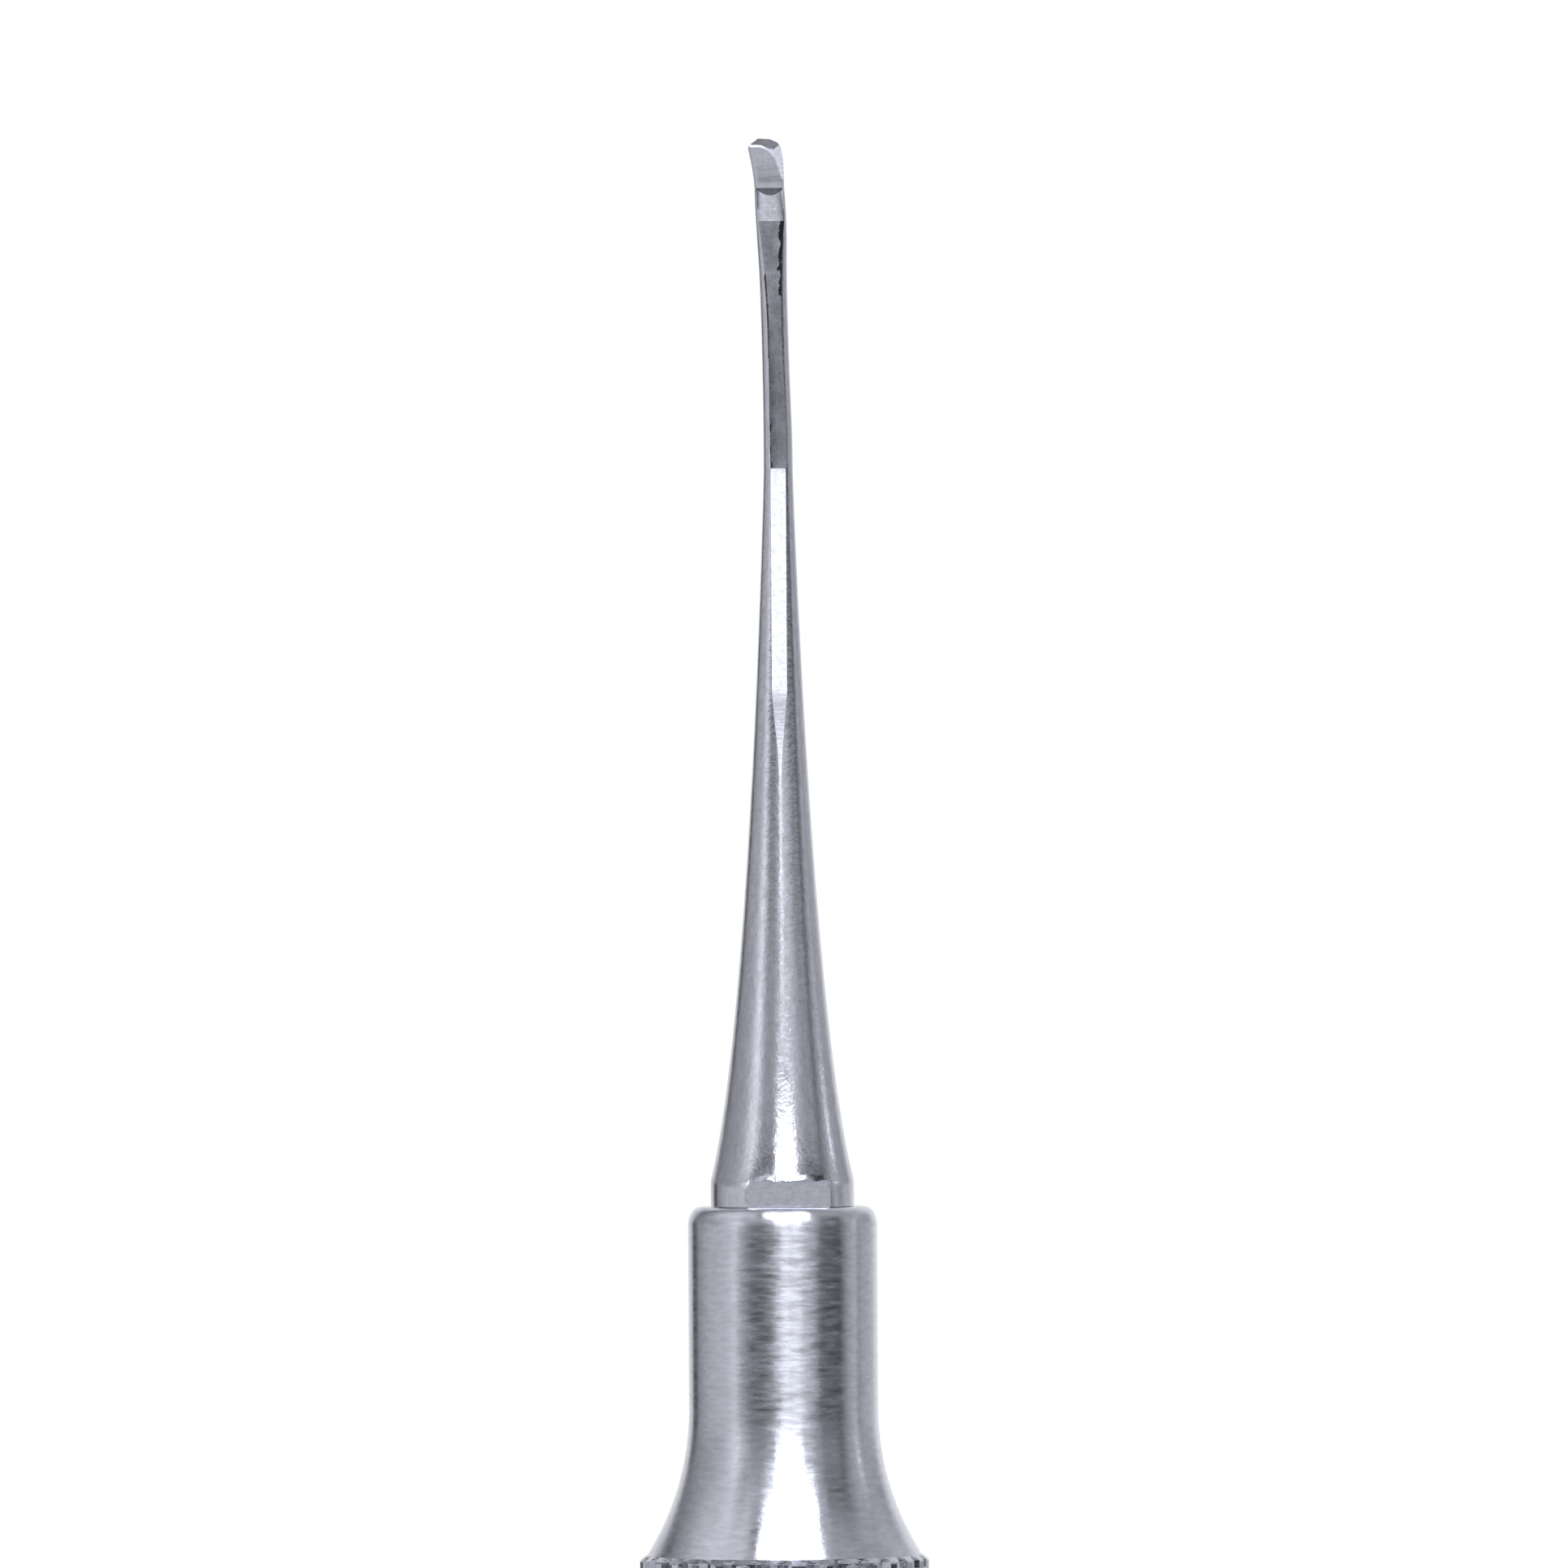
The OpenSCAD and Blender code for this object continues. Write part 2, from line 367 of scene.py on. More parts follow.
def painted_shade_steel():
    """The steep wall under the blade, painted very dark: painted shade under the blade."""
    def colour(tree):
        return ramp(tree, noise_value(tree, (5, 5, 5), 3), shades(0.2, 0.3))

    def roughness(tree):
        return spread(tree, noise_value(tree, (8, 8, 8), 3), 0.3, 0.4)

    def normal(tree):
        return bump(tree, noise_value(tree, (7, 7, 7), 3), 0.001)

    return steel_shader("painted_shade_steel", colour, roughness, normal)


def worn_steel():
    """The worn edge of the blade, which scatters the light."""
    def colour(tree):
        return ramp(tree, noise_value(tree, (5, 5, 5), 3), shades(1.0, 0.05))

    def roughness(tree):
        return spread(tree, noise_value(tree, (8, 8, 8), 3), 0.6, 0.7)

    def normal(tree):
        return bump(tree, noise_value(tree, (7, 7, 7), 3), 0.001)

    return steel_shader("worn_steel", colour, roughness, normal)


def knurled_steel():
    """Rolled knurling: bright crests and darker grooves."""
    def colour(tree):
        return ramp(tree, noise_value(tree, (3, 3, 3), 4), shades(0.95, 0.12))

    def roughness(tree):
        return spread(tree, noise_value(tree, (7, 7, 7), 3), 0.16, 0.3)

    def normal(tree):
        return bump(tree, noise_value(tree, (10, 10, 10), 3, 0.6), 0.002)

    return steel_shader("knurled_steel", colour, roughness, normal)


# ---------------------------------------------------------------- grip

KNURL_STARTS = 32
KNURL_ANGLE = math.radians(30)
KNURL_CUTS = 4                                  # mesh steps for each groove spacing
KNURL_PROFILE = [1.0, 0.25, 0.0, 0.25]          # depth of one groove family at each mesh step
KNURL_RUN = 0.2                                 # length over which the crests run out at each end


def knurl_radius(i, j):
    """Radius at lattice point (i, j): two families of helical grooves that cross in diamonds."""
    depth = max(KNURL_PROFILE[(i + j) % KNURL_CUTS], KNURL_PROFILE[(i - j) % KNURL_CUTS])
    return CREST_R - KNURL_DEPTH * depth


def knurled_stretch(sides, low, high):
    """Rings of one knurled stretch, whose ends are chamfered down to the grooves' bottoms. At the
    tube's end the two families of grooves meet, so that the chamfer cuts through whole crests."""
    spacing = 2 * math.pi * CREST_R / KNURL_STARTS / math.tan(KNURL_ANGLE) / KNURL_CUTS
    chamfer_rows = [0, 0.25, 0.5, 0.75, 1]
    inset = KNURL_RUN + spacing / 2
    start = high - inset if high > 0 else low + inset
    first = math.ceil((low + KNURL_RUN - start) / spacing)
    last = math.floor((high - KNURL_RUN - start) / spacing)
    rows = [(low + KNURL_RUN * t, first) for t in chamfer_rows]
    rows += [(start + j * spacing, j) for j in range(first, last + 1)]
    rows += [(high - KNURL_RUN * t, last) for t in reversed(chamfer_rows)]
    rings = []
    for z, j in rows:
        limit = TUBE_R + KNURL_DEPTH * min((z - low) / KNURL_RUN, (high - z) / KNURL_RUN, 1)
        ring = []
        for i in range(sides):
            t = 2 * math.pi * i / sides
            r = min(limit, knurl_radius(i, j))
            ring.append((r * math.cos(t), r * math.sin(t), z))
        rings.append(ring)
    return rings


def split_along_grooves(obj):
    """Cuts each four-sided face along the diagonal that follows its groove or crest line."""
    work = bmesh.new()
    work.from_mesh(obj.data)
    radius = {v: math.hypot(v.co.x, v.co.y) for v in work.verts}
    deep = (TUBE_R + 0.1 * KNURL_DEPTH) * MM
    for face in [f for f in work.faces if len(f.verts) == 4]:
        a, b, c, d = face.verts
        low = [v for v in (a, b, c, d) if radius[v] < deep]
        if len(low) == 1:
            ends = (b, d) if low[0] in (a, c) else (a, c)
        else:
            ends = (a, c) if radius[a] + radius[c] <= radius[b] + radius[d] else (b, d)
        bmesh.utils.face_split(face, *ends)
    work.to_mesh(obj.data)
    work.free()


def grip():
    """The hollow knurled tube with a plain band in its middle."""
    sides = KNURL_STARTS * KNURL_CUTS
    bore = [circle(BORE_R, -TUBE_END, sides), circle(BORE_R, TUBE_END, sides)]
    outside = knurled_stretch(sides, -TUBE_END, -BAND_HALF) + knurled_stretch(sides, BAND_HALF, TUBE_END)
    obj = piece("grip_knurled_tube", outside + bore[::-1], "handle", "grip_tube",
                [knurled_steel()], closed=True)
    split_along_grooves(obj)
    shade(obj.data, math.radians(12))


# ---------------------------------------------------------------- noses

def bell_arc(steps=24):
    """The neck's flare, from the straight neck to the tube, as points below the nose's face."""
    length, rise = NOSE_LEN - NECK_LEN, TUBE_R - NECK_R
    r = (length * length + rise * rise) / (2 * rise)
    end = math.asin(length / r)
    return [(NECK_R + r * (1 - math.cos(a)), -NECK_LEN - r * math.sin(a))
            for a in (end * i / steps for i in range(steps, -1, -1))]


def nose_outline():
    """From the spigot's inner end, over the bell and the rim, and down the socket."""
    spigot_r = BORE_R - PRESS_GAP
    spigot = SPIGOT_END - NOSE_FACE
    socket_r = STUD_R + SOCKET_PLAY
    socket_end = STUD_END - NOSE_FACE - SOCKET_TIP
    rim = [(NECK_R - RIM_WIDE * (1 - math.cos(a)), -RIM_HIGH * (1 - math.sin(a)))
           for a in (math.radians(d) for d in range(0, 91, 6))]
    outline = [(CORE_R, spigot), (spigot_r - SPIGOT_CHAMFER, spigot), (spigot_r, spigot + SPIGOT_CHAMFER),
               (spigot_r, -NOSE_LEN)]
    outline += bell_arc()
    outline += [(NECK_R, mix(-NECK_LEN, -RIM_HIGH, i / 6)) for i in range(1, 6)] + rim
    outline += [(SEAT_R + SOCKET_PLAY + 0.02, 0), (SEAT_R + SOCKET_PLAY, -0.02), (socket_r, -SEAT_LEN)]
    outline += [(socket_r, socket_end), (CORE_R, socket_end - 0.3)]
    return [(r, z + NOSE_FACE) for r, z in outline]


def nose(end, material):
    outline = nose_outline()
    if end == "rear":
        outline = mirrored(outline)
    lathe(f"{end}_nose_turned", outline, "handle", f"{end}_nose", [material],
          flip=end == "rear")


# ---------------------------------------------------------------- tips

# Cross-sections of the blade end, as in the CAD part: distance below the cutting edge, centre's
# X and Y, half width, half depth in front and behind, squareness, Y of the ground front face
# and how much deeper that face is in its middle.
BLADE = [
    (10.8, 0, 0, 0.48, 0.48, 0.48, 2, -0.41, 0),
    (10.78, 0, 0, 0.48, 0.48, 0.48, 2, -0.39, 0),
    (9.5, -0.01, 0, 0.47, 0.475, 0.475, 2, -0.385, 0),
    (8, -0.045, 0, 0.45, 0.46, 0.45, 2, -0.385, 0),
    (6, -0.093, 0, 0.44, 0.45, 0.44, 2, -0.385, 0),
    (4.5, -0.13, 0, 0.455, 0.45, 0.44, 2.3, -0.38, 0),
    (3.2, -0.165, 0, 0.495, 0.45, 0.43, 3, -0.374, 0),
    (2.7, -0.185, 0, 0.5, 0.45, 0.43, 4, -0.372, 0),
    (2.3, -0.205, 0, 0.505, 0.45, 0.42, 4, -0.371, 0.04),
    (1.86, -0.224, 0, 0.5, 0.46, 0.4, 4, -0.37, 0.085),
    (1.62, -0.235, -0.02, 0.49, 0.48, 0.38, 4, -0.42, 0.01),
    (1.2, -0.26, -0.08, 0.505, 0.5, 0.36, 4, -0.485, 0.01),
    (0.75, -0.31, -0.17, 0.53, 0.48, 0.3, 4, -0.555, 0.012),
    (0.345, -0.385, -0.27, 0.54, 0.45, 0.22, 4, -0.62, 0),
    (-0.1, -0.47, -0.39, 0.51, 0.4, 0.15, 4, -0.69, 0),
]
BLADE_START = BLADE[0][0]
TAPER_END = TIP_LEN - BLADE_START
STRIP_START = TIP_LEN - 21
WAIST_R = BLADE[0][3]
TAPER_RADII = (ROOT_R, 0.97, 0.45, WAIST_R)     # the taper's curve from the root ring to the waist
TAPER_HEIGHTS = (ROOT_LEN, ROOT_LEN + 5.35, TAPER_END + 0.5, TAPER_END)
TAPER_STEPS = 120
STRIP_HALF = 0.245                              # half width of the narrow flat on the taper's front
STRIP_FADE = 2.8                                # length over which that flat narrows to nothing

# A point of the ground face: how far it is below the cutting edge and in front of the axis.
EDGE_DEPTH, HOOK = BLADE[-2][0], -BLADE[-2][7]

# Distances below the cutting edge.
WALL_TOP, WALL_FOOT = 1.62, 1.86                # the steep wall under the blade
CUP_END = 2.7                                   # lower end of the bright cup under the wall
STRAIGHT_END = 3.2                              # the sections change evenly from here up to the wall's top
STEP_TOP, STEP_FOOT = 4.42, 4.5                 # the small step in the milled flat's left border

STEP_WIDE, STEP_FADE = 0.025, 6                 # the step's width, and the length over which it fades out
FRONT_POINTS = 28
ARC_POINTS = 68
RING_SPACING = 0.1
WORN_COLUMNS = 9                                # how many columns of faces the blade's worn left edge takes
SHANK, GROUND_FACE, MILLED_FACE, PAINTED_SHADE_FACE, WORN_FACE = range(5)      # the tip's finishes
ROOT_SIDES = 240
TEAR_DEPTH = 0.16                               # how deep the shank's lower edge is torn


def bezier(a, b, c, d, t):
    return (1 - t) ** 3 * a + 3 * (1 - t) ** 2 * t * b + 3 * (1 - t) * t * t * c + t ** 3 * d


def curve_y(x, a, b, n):
    """Depth of the superellipse with half axes a and b at the offset x."""
    return b * max(0.0, 1 - (abs(x) / a) ** n) ** (1 / n)


def section(h, x, y, a, front, back, n, plane, dip):
    """One closed ring: the ground front face from left to right, then the arc round the back."""
    w = max(0.15 * a, curve_y(min(y - plane, front), front, a, n))
    corner = math.atan2(curve_y(w, a, 1, n), w / a)
    ring = []
    for i in range(FRONT_POINTS + 1):
        u = 2 * i / FRONT_POINTS - 1
        ring.append((x + u * w, max(y - curve_y(u * w, a, front, n), plane + dip * (1 - u ** 6)), h))
    for i in range(1, ARC_POINTS + 1):
        v = (math.pi + 2 * corner) * i / (ARC_POINTS + 1) - corner
        c, s = math.cos(v), math.sin(v)
        k = (abs(c) ** n + abs(s) ** n) ** (-1 / n)
        ring.append((x + a * k * c, y + (front if s < 0 else back) * k * s, h))
    return ring


def taper_ring(t):
    """A ring of the round shank at t along its curve, with the flat that fades in on its front."""
    r = bezier(*TAPER_RADII, t)
    h = bezier(*TAPER_HEIGHTS, t)
    half = STRIP_HALF * min(1.0, max(0.0, (h - STRIP_START) / STRIP_FADE))
    return section(h, 0, 0, r, r, r, 2, -math.sqrt(r * r - half * half), 0)


def between(s, t):
    """Values between two neighbouring blade stations, without kinks in the outline."""
    rows = [BLADE[max(s - 1, 0)], BLADE[s], BLADE[s + 1], BLADE[min(s + 2, len(BLADE) - 1)]]
    return [0.5 * (2 * b + (c - a) * t + (2 * a - 5 * b + 4 * c - d) * t * t
                   + (3 * b - a - 3 * c + d) * t ** 3) for a, b, c, d in zip(*rows)]


def blade_rings():
    """Rings at each station, with more between two stations unless the blade is straight there."""
    rings = []
    for s in range(len(BLADE) - 1):
        straight = s == 0 or WALL_TOP < BLADE[s][0] <= STRAIGHT_END
        steps = 1 if straight else max(1, round((BLADE[s][0] - BLADE[s + 1][0]) / RING_SPACING))
        for i in range(steps):
            rings += blade_ring(*(between(s, i / steps) if i else BLADE[s]))
    return rings + blade_ring(*BLADE[-1])


def blade_ring(below, *shape):
    """The ring at a distance below the cutting edge, and at the step a second one close above it."""
    ring = section(TIP_LEN - below, *shape)
    if below > STEP_TOP:
        ring = stepped(ring, STEP_WIDE * max(0, 1 - (below - STEP_TOP) / STEP_FADE))
    if below == WALL_FOOT:
        ring = wall_foot(ring)
    return [ring, section(TIP_LEN - STEP_TOP, *shape)] if below == STEP_FOOT else [ring]


def stepped(ring, inset):
    """Moves the left border of the front face in, and leaves a narrow bevel beside it."""
    (left, y, z), right = ring[0], ring[FRONT_POINTS][0]
    front = [(mix(left + inset, right, (x - left) / (right - left)), y, z)
             for x, y, z in ring[1:FRONT_POINTS + 1]]
    return [(left, y + 0.35 * inset, z)] + front + ring[FRONT_POINTS + 1:]


def wall_foot(ring):
    """Raises the foot of the wall towards both sides, so that the wall is a lens."""
    height = WALL_FOOT - WALL_TOP - 0.02
    raised = [(x, y, z + height * (2 * i / FRONT_POINTS - 1) ** 2)
              for i, (x, y, z) in enumerate(ring[:FRONT_POINTS + 1])]
    return raised + ring[FRONT_POINTS + 1:]


def finish_of(i, low, high):
    """Which finish the face at place i between two rings has."""
    below = TIP_LEN - (low[i][2] + high[i][2]) / 2
    if i >= len(low) - WORN_COLUMNS and below < WALL_TOP:
        return WORN_FACE
    if i >= FRONT_POINTS or below > TIP_LEN - STRIP_START:
        return SHANK
    if i == 0 and STEP_TOP < below < BLADE_START:
        return SHANK
    # the steep wall under the blade gets the painted shade
    if abs(TIP_LEN - high[i][2] - WALL_TOP) < 0.01:
        return PAINTED_SHADE_FACE
    return MILLED_FACE if CUP_END < below < BLADE_START else GROUND_FACE


def cut(work, point, normal, finish=GROUND_FACE):
    """Takes away everything on the normal's side of a plane and closes the hole. Millimetres."""
    everything = work.verts[:] + work.edges[:] + work.faces[:]
    found = bmesh.ops.bisect_plane(work, geom=everything, plane_co=Vector(point), plane_no=Vector(normal),
                                   clear_outer=True, dist=1e-5)
    rim = [e for e in found["geom_cut"] if isinstance(e, bmesh.types.BMEdge)]
    for face in bmesh.ops.contextual_create(work, geom=rim)["faces"]:
        face.material_index = finish


def shank_mesh(name):
    """The shank and the blade, ground at its end, as one closed mesh in metres."""
    foot_r = WRENCH_HALF - 0.1
    rings = [section(ROOT_LEN - 0.05, 0, 0, foot_r, foot_r, foot_r, 2, -ROOT_R, 0)]
    rings += [taper_ring(i / TAPER_STEPS) for i in range(TAPER_STEPS)]
    rings[1] = torn(rings[1])
    rings += blade_rings()
    sides = len(rings[0])
    work = bmesh.new()
    grid = [[work.verts.new(p) for p in ring] for ring in rings]
    for low, high, below, above in zip(grid, grid[1:], rings, rings[1:]):
        for i in range(sides):
            j = (i + 1) % sides
            face = work.faces.new((low[i], low[j], high[j], high[i]))
            face.material_index = finish_of(i, below, above)
    work.faces.new(grid[0][::-1])
    work.faces.new(grid[-1])
    grind(work)
    place = Matrix.Scale(MM, 4) @ Matrix.Translation((0, 0, NOSE_FACE))
    bmesh.ops.transform(work, matrix=place, verts=work.verts)
    mesh = bpy.data.meshes.new(name)
    work.to_mesh(mesh)
    work.free()
    return mesh


# The bevels across the end and the worn flats in front of them, each through a point of the
# ground face: its X, its depth below the cutting edge and the plane's roll.
END_BEVELS = [(-0.816, 0.245, 1), (-0.43, 0.29, 27)]
WORN_FLATS = [(-0.7, 0.295, 0), (-0.45, 0.325, 27), (-0.185, 0.54, 58)]
GROUND_SLOPE = 0.157                            # how much the ground face falls back for each mm below
BEVEL_TILT = math.radians(42)

# The side chamfer: a point of its plane, the plane's turn and lean, and how far down it reaches.
CHAMFER_POINT = (-0.07, -HOOK + 0.04, TIP_LEN - 0.65)
CHAMFER_TURN, CHAMFER_LEAN = math.radians(50), math.radians(12)
CHAMFER_REACH = 1.85

# The blade's outline at its end, seen from the front: a point's X, its depth below the cutting
# edge and the slope of the line through it.
END_LINES = [(-0.92, 0.3, 80), (-0.601, 0, 38), (-0.6, 0, -3), (-0.215, 0.02, -23), (0.02, 0.12, -50)]


def grind(work):
    """The side chamfer, the bevels across the end, the worn edge in front of them and the end's outline."""
    bevel = Matrix.Rotation(BEVEL_TILT - math.pi / 2, 3, "X") @ Vector((0, -1, 0))
    side = Matrix.Rotation(-CHAMFER_LEAN, 3, "Y") @ Matrix.Rotation(CHAMFER_TURN, 3, "Z") @ Vector((0, -1, 0))
    face = Vector((0, -1, -GROUND_SLOPE)).normalized()
    flatten_above(work, TIP_LEN - CHAMFER_REACH, CHAMFER_POINT, side)
    for rows, lead, finish in ((END_BEVELS, 0, GROUND_FACE), (WORN_FLATS, 1, WORN_FACE)):
        for x, below, roll in rows:
            start = (x, -HOOK + GROUND_SLOPE * (below - EDGE_DEPTH), TIP_LEN - below)
            turned = Matrix.Rotation(math.radians(roll), 3, "Y") @ bevel
            cut(work, start, (turned + lead * face).normalized(), finish)
    for x, below, slope in END_LINES:
        upward = Matrix.Rotation(-math.radians(slope), 3, "Y") @ Vector((0, 0, 1))
        cut(work, (x, 0, TIP_LEN - below), upward)


def flatten_above(work, height, point, normal):
    """Flattens onto a plane what stands in front of it above a height."""
    point, normal = Vector(point), Vector(normal)
    faces = [f for f in work.faces if f.calc_center_median().z > height]
    parts = {part for f in faces for part in (*f.verts, *f.edges)}
    bmesh.ops.bisect_plane(work, geom=[*parts, *faces], plane_co=point, plane_no=normal, dist=1e-5)
    flat = set()
    for vert in work.verts:
        out = (vert.co - point).dot(normal)
        if vert.co.z > height and out > -1e-5:
            vert.co -= normal * out
            flat.add(vert)
    for face in work.faces:
        if flat.issuperset(face.verts):
            face.material_index = GROUND_FACE


def torn(ring):
    """The shank's lower edge, torn in small scallops where it overhangs the spanner flats."""
    jagged = []
    for x, y, z in ring:
        bite = abs(noise.noise(Vector((x, y, 0)) * 3.1)) + 0.5 * abs(noise.noise(Vector((x, y, 5)) * 8))
        jagged.append((x, y, z + (TEAR_DEPTH * bite if on_flat(math.atan2(y, x)) else 0)))
    return jagged


def thread(length, radius, depth, pitch):
    """Rings of a right-hand thread below height 0, which runs out at both ends."""
    sides, steps = 48, int(length / pitch * 8)
    rings = []
    for k in range(steps + 1):
        z = -length * k / steps
        fade = min(1.0, 1.2 * min(-z, length + z) / pitch)
        ring = []
        for i in range(sides):
            turn = i / sides
            phase = (z / pitch - turn) % 1.0
            r = radius - depth * (1 - fade * (1 - abs(2 * phase - 1)))
            ring.append((r * math.cos(2 * math.pi * turn), r * math.sin(2 * math.pi * turn), z))
        rings.append(ring)
    return rings


def stud_rings():
    """The threaded stud and its conical seat, from the inner end outwards."""
    length = NOSE_FACE - STUD_END - SEAT_LEN
    rings = [[(x, y, z - SEAT_LEN) for x, y, z in ring]
             for ring in thread(length, STUD_R, THREAD_DEPTH, THREAD_PITCH)]
    sides = len(rings[0])
    top = [circle(SEAT_R, 0.02, sides), circle(STUD_R, -SEAT_LEN + 0.01, sides)]
    return (top + rings)[::-1]


def on_flat(turn):
    """Whether the direction turn meets a spanner flat of the root ring."""
    return abs(math.sin(turn - WRENCH_TURN)) > WRENCH_HALF / ROOT_R


def root_finish(i):
    return GROUND_FACE if on_flat(2 * math.pi * (i + 0.5) / ROOT_SIDES) else SHANK


def root_rings():
    """The root ring with its two spanner flats, which run a little way up into the shank."""
    rings = []
    for h in (0.02, 0.3, 0.6, ROOT_LEN - 0.06, ROOT_LEN + 0.12):
        ring = []
        for i in range(ROOT_SIDES):
            t = 2 * math.pi * i / ROOT_SIDES
            facing = abs(math.sin(t - WRENCH_TURN))
            r = min(ROOT_R - 0.4 * max(0, h - ROOT_LEN), WRENCH_HALF / max(facing, 1e-6))
            ring.append((r * math.cos(t), r * math.sin(t), h))
        rings.append(ring)
    return rings


def tip(end, finishes):
    """The shank with its blade, the root ring and the threaded stud of one end."""
    body, slot, cad = f"{end}_tip", "tip_steel", f"{end}_tip"
    mesh = shank_mesh(f"{end}_shank")
    if end == "rear":
        flip_z(mesh)
    add_piece(f"{end}_tip_shank", mesh, body, cad, finishes)
    up = 1 if end == "front" else -1
    root = [[(x, y, up * (z + NOSE_FACE)) for x, y, z in ring] for ring in root_rings()]
    piece(f"{end}_tip_root", root, body, cad, finishes, flip=up < 0, finish=root_finish)
    stud = [[(x, up * y, up * (z + NOSE_FACE)) for x, y, z in ring] for ring in stud_rings()]
    piece(f"{end}_tip_stud", stud, body, cad, [finishes[SHANK]])


def flip_z(mesh):
    """Mirrors a mesh from the front end to the rear end."""
    work = bmesh.new()
    work.from_mesh(mesh)
    bmesh.ops.transform(work, matrix=Matrix.Diagonal((1, 1, -1, 1)), verts=work.verts)
    bmesh.ops.reverse_faces(work, faces=work.faces)
    work.to_mesh(mesh)
    work.free()


# ---------------------------------------------------------------- studio

CAMERA_DISTANCE = 600
PICTURE_SIDE = 51.4                             # millimetres that the picture spans at the object
TOP_MARGIN = 4.55                               # millimetres of white above the cutting edge
SENSOR = 36.0
CAMERA_ROLL = math.radians(0.33)
CAMERA_SHIFT_X = 0.13                           # millimetres that the view's centre is right of the axis
FLOOR_R, FADE_START = 0.45, 0.12                # metres
FLOOR_DROP = 11                                 # the rear tip unscrews by 10 mm above the floor

# Brightness all round the object: (azimuth in degrees, level). 0 is where the camera stands and
# +90 is to its right. The first ring is at the object's height, the second one above it.
LOW_PANELS = [
    (-180, 0.95), (-150, 0.75), (-142, 0.12), (-134, 0.08), (-126, 0.38), (-100, 0.68), (-70, 0.74),
    (-62, 0.85), (-54, 0.26), (-39, 0.04), (-29, 0.01), (-19, 0.02), (-10, 0.1), (0, 0.2),
    (11, 0.72), (22, 0.36), (31, 0.16), (41, 0.02), (52, 0.0), (66, 0.0), (74, 0.05),
    (88, 0.46), (98, 0.6), (106, 0.36), (115, 0.54), (142, 0.7), (150, 0.88), (180, 0.95)]
HIGH_PANELS = [
    (-180, 0.95), (-150, 0.75), (-140, 0.25), (-120, 0.38), (-89, 0.48), (-77, 0.6), (-66, 0.95),
    (-57, 1.3), (-48, 0.92), (-39, 0.5), (-27, 0.45), (-18, 0.52), (-9, 0.62), (0, 0.72),
    (20, 0.85), (30, 0.74), (38, 0.6), (50, 0.46), (58, 0.46), (66, 0.46), (74, 0.2),
    (82, 0.36), (88, 0.5), (98, 0.55), (135, 0.4), (150, 0.88), (180, 0.95)]
LEVEL_MAX = 1.4
CEILING = 0.36
GROUND = 0.5

# Softboxes, each laid over the ones before it: azimuth from and to, elevation from and to, the
# elevation above which it widens, softness of its edges and level.
SOFTBOXES = [
    (-105, -42, 34, 66, 90, 14, 0.95),          # high on the left
    (42, 90, 34, 66, 90, 14, 0.55),             # high on the right
    (-10, 24, 18, 68, 28, 1, 5.2),              # the main light, above the camera
    (-14, 26, -44, -13, 90, 5, 0.75),           # below the camera
    (16, 44, -46, -12, 90, 8, 1.7),             # low on the right
    (-3, 7, 2.5, 8, 90, 1.2, 2.4),              # a narrow one just above the camera
    (96, 104, 9.5, 14, 90, 1.5, 1.7),           # a small one at the far right
    (-46, -8, 27, 40, 90, 6, 0.95),             # left of the main light
    (20, 50, 27, 38, 90, 8, 0.8),               # right of the main light
    (-12, 40, 33, 68, 60, 2, 5.2)]              # the wider upper part of the main light
WIDENING = 0.85                                 # degrees on each side for each degree of elevation


def camera():
    data = bpy.data.cameras.new("camera")
    data.sensor_width = SENSOR
    data.lens = SENSOR * CAMERA_DISTANCE / PICTURE_SIDE
    data.clip_start, data.clip_end = 0.01, 100
    obj = bpy.data.objects.new("camera", data)
    obj.location = Vector((CAMERA_SHIFT_X, -CAMERA_DISTANCE, TIP_END + TOP_MARGIN - PICTURE_SIDE / 2)) * MM
    obj.rotation_euler = (math.radians(90), CAMERA_ROLL, 0)
    bpy.context.scene.collection.objects.link(obj)
    bpy.context.scene.camera = obj


def panel_stops(panels):
    return [((azimuth + 180) / 360, level / LEVEL_MAX) for azimuth, level in panels]


def softbox_mask(tree, azimuth, elevation, box):
    """1 inside a softbox and 0 outside it."""
    left, right, low, high, straight, soft, _ = box
    above = calc(tree, "MAXIMUM", calc(tree, "SUBTRACT", elevation, straight), 0.0)
    wider = calc(tree, "MULTIPLY", above, WIDENING)
    sides = [step_between(tree, calc(tree, "ADD", azimuth, wider), left - soft / 2, left + soft / 2),
             step_between(tree, calc(tree, "SUBTRACT", azimuth, wider), right + soft / 2, right - soft / 2),
             step_between(tree, elevation, low - soft / 2, low + soft / 2),
             step_between(tree, elevation, high + soft / 2, high - soft / 2)]
    return product(tree, *sides)


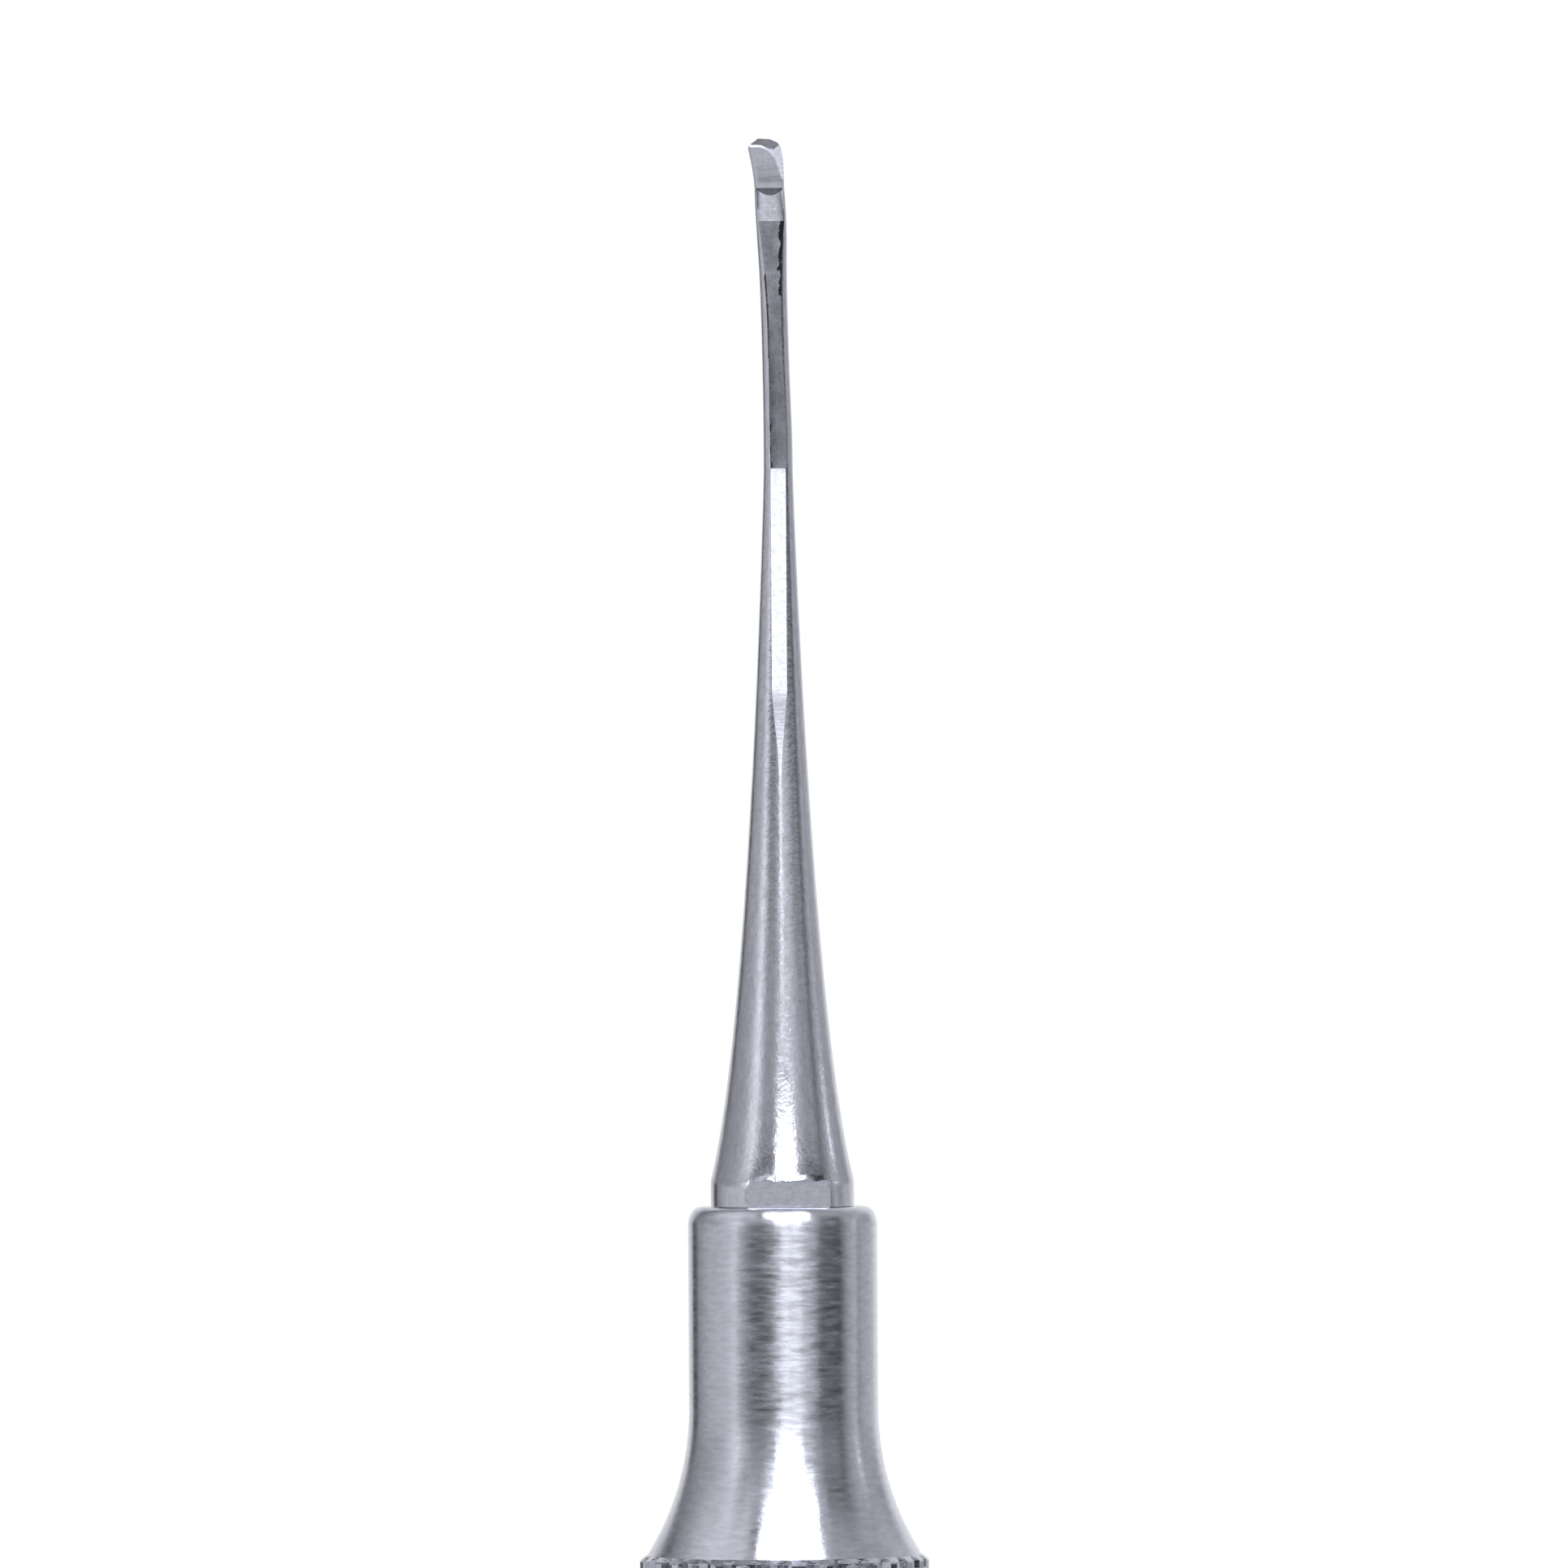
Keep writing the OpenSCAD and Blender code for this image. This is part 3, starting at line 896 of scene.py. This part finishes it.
def studio_light():
    """A room of soft grey panels and softboxes, with a plain white backdrop behind the object."""
    world = bpy.data.worlds.new("studio")
    bpy.context.scene.world = world
    world.use_nodes = True
    tree = world.node_tree
    tree.nodes.clear()
    way = make(tree, "SeparateXYZ", {0: make(tree, "TexCoord").outputs["Generated"]}).outputs
    azimuth = calc(tree, "DEGREES", calc(tree, "ARCTAN2", way[0], calc(tree, "MULTIPLY", way[1], -1.0)))
    elevation = calc(tree, "DEGREES", calc(tree, "ARCSINE", way[2]))
    around = calc(tree, "MULTIPLY_ADD", azimuth, 1 / 360, 0.5)
    low, high = (calc(tree, "MULTIPLY", ramp(tree, around, panel_stops(panels)), LEVEL_MAX)
                 for panels in (LOW_PANELS, HIGH_PANELS))
    raised = product(tree, step_between(tree, elevation, 1, 7), step_between(tree, elevation, 26, 17))
    level = blend_values(tree, raised, low, high)
    level = blend_values(tree, step_between(tree, elevation, 50, 75), level, CEILING)
    level = blend_values(tree, step_between(tree, elevation, -14, -32), level, GROUND)
    for box in SOFTBOXES:
        level = blend_values(tree, softbox_mask(tree, azimuth, elevation, box), level, box[-1])
    seen = make(tree, "LightPath").outputs["Is Camera Ray"]
    level = blend_values(tree, seen, level, 1.0)
    light = make(tree, "Background", {"Color": (1, 1, 1, 1), "Strength": level})
    out = make(tree, "OutputWorld")
    tree.links.new(light.outputs[0], out.inputs[0])


def floor():
    """A plain pale disc that fades out at its edge."""
    material = bpy.data.materials.new("pale_floor")
    material.use_nodes = True
    tree = material.node_tree
    tree.nodes.clear()
    pale = make(tree, "BsdfDiffuse", {"Color": (0.88, 0.88, 0.9, 1)})
    where = make(tree, "TexCoord").outputs["Object"]
    away = make(tree, "VectorMath", {0: where}, operation="LENGTH").outputs["Value"]
    fade = step_between(tree, away, FADE_START, FLOOR_R)
    clear = make(tree, "BsdfTransparent")
    both = make(tree, "MixShader", {0: fade, 1: pale.outputs[0], 2: clear.outputs[0]})
    out = make(tree, "OutputMaterial")
    tree.links.new(both.outputs[0], out.inputs[0])
    work = bmesh.new()
    bmesh.ops.create_circle(work, cap_ends=True, segments=96, radius=FLOOR_R)
    mesh = bpy.data.meshes.new("floor")
    work.to_mesh(mesh)
    work.free()
    mesh.materials.append(material)
    obj = bpy.data.objects.new("floor", mesh)
    obj.location.z = CAD_BOX[0].z - FLOOR_DROP * MM
    bpy.context.scene.collection.objects.link(obj)


def look():
    """Plain colours, without a film look."""
    settings = bpy.context.scene.view_settings
    settings.view_transform = "Standard"
    settings.look = "None"


camera()
studio_light()
floor()
look()
grip()
turned = turned_steel()
finishes = [polished_steel(), ground_steel(), milled_steel_painted_dark(), painted_shade_steel(), worn_steel()]
for end in ("front", "rear"):
    nose(end, turned)
    tip(end, finishes)
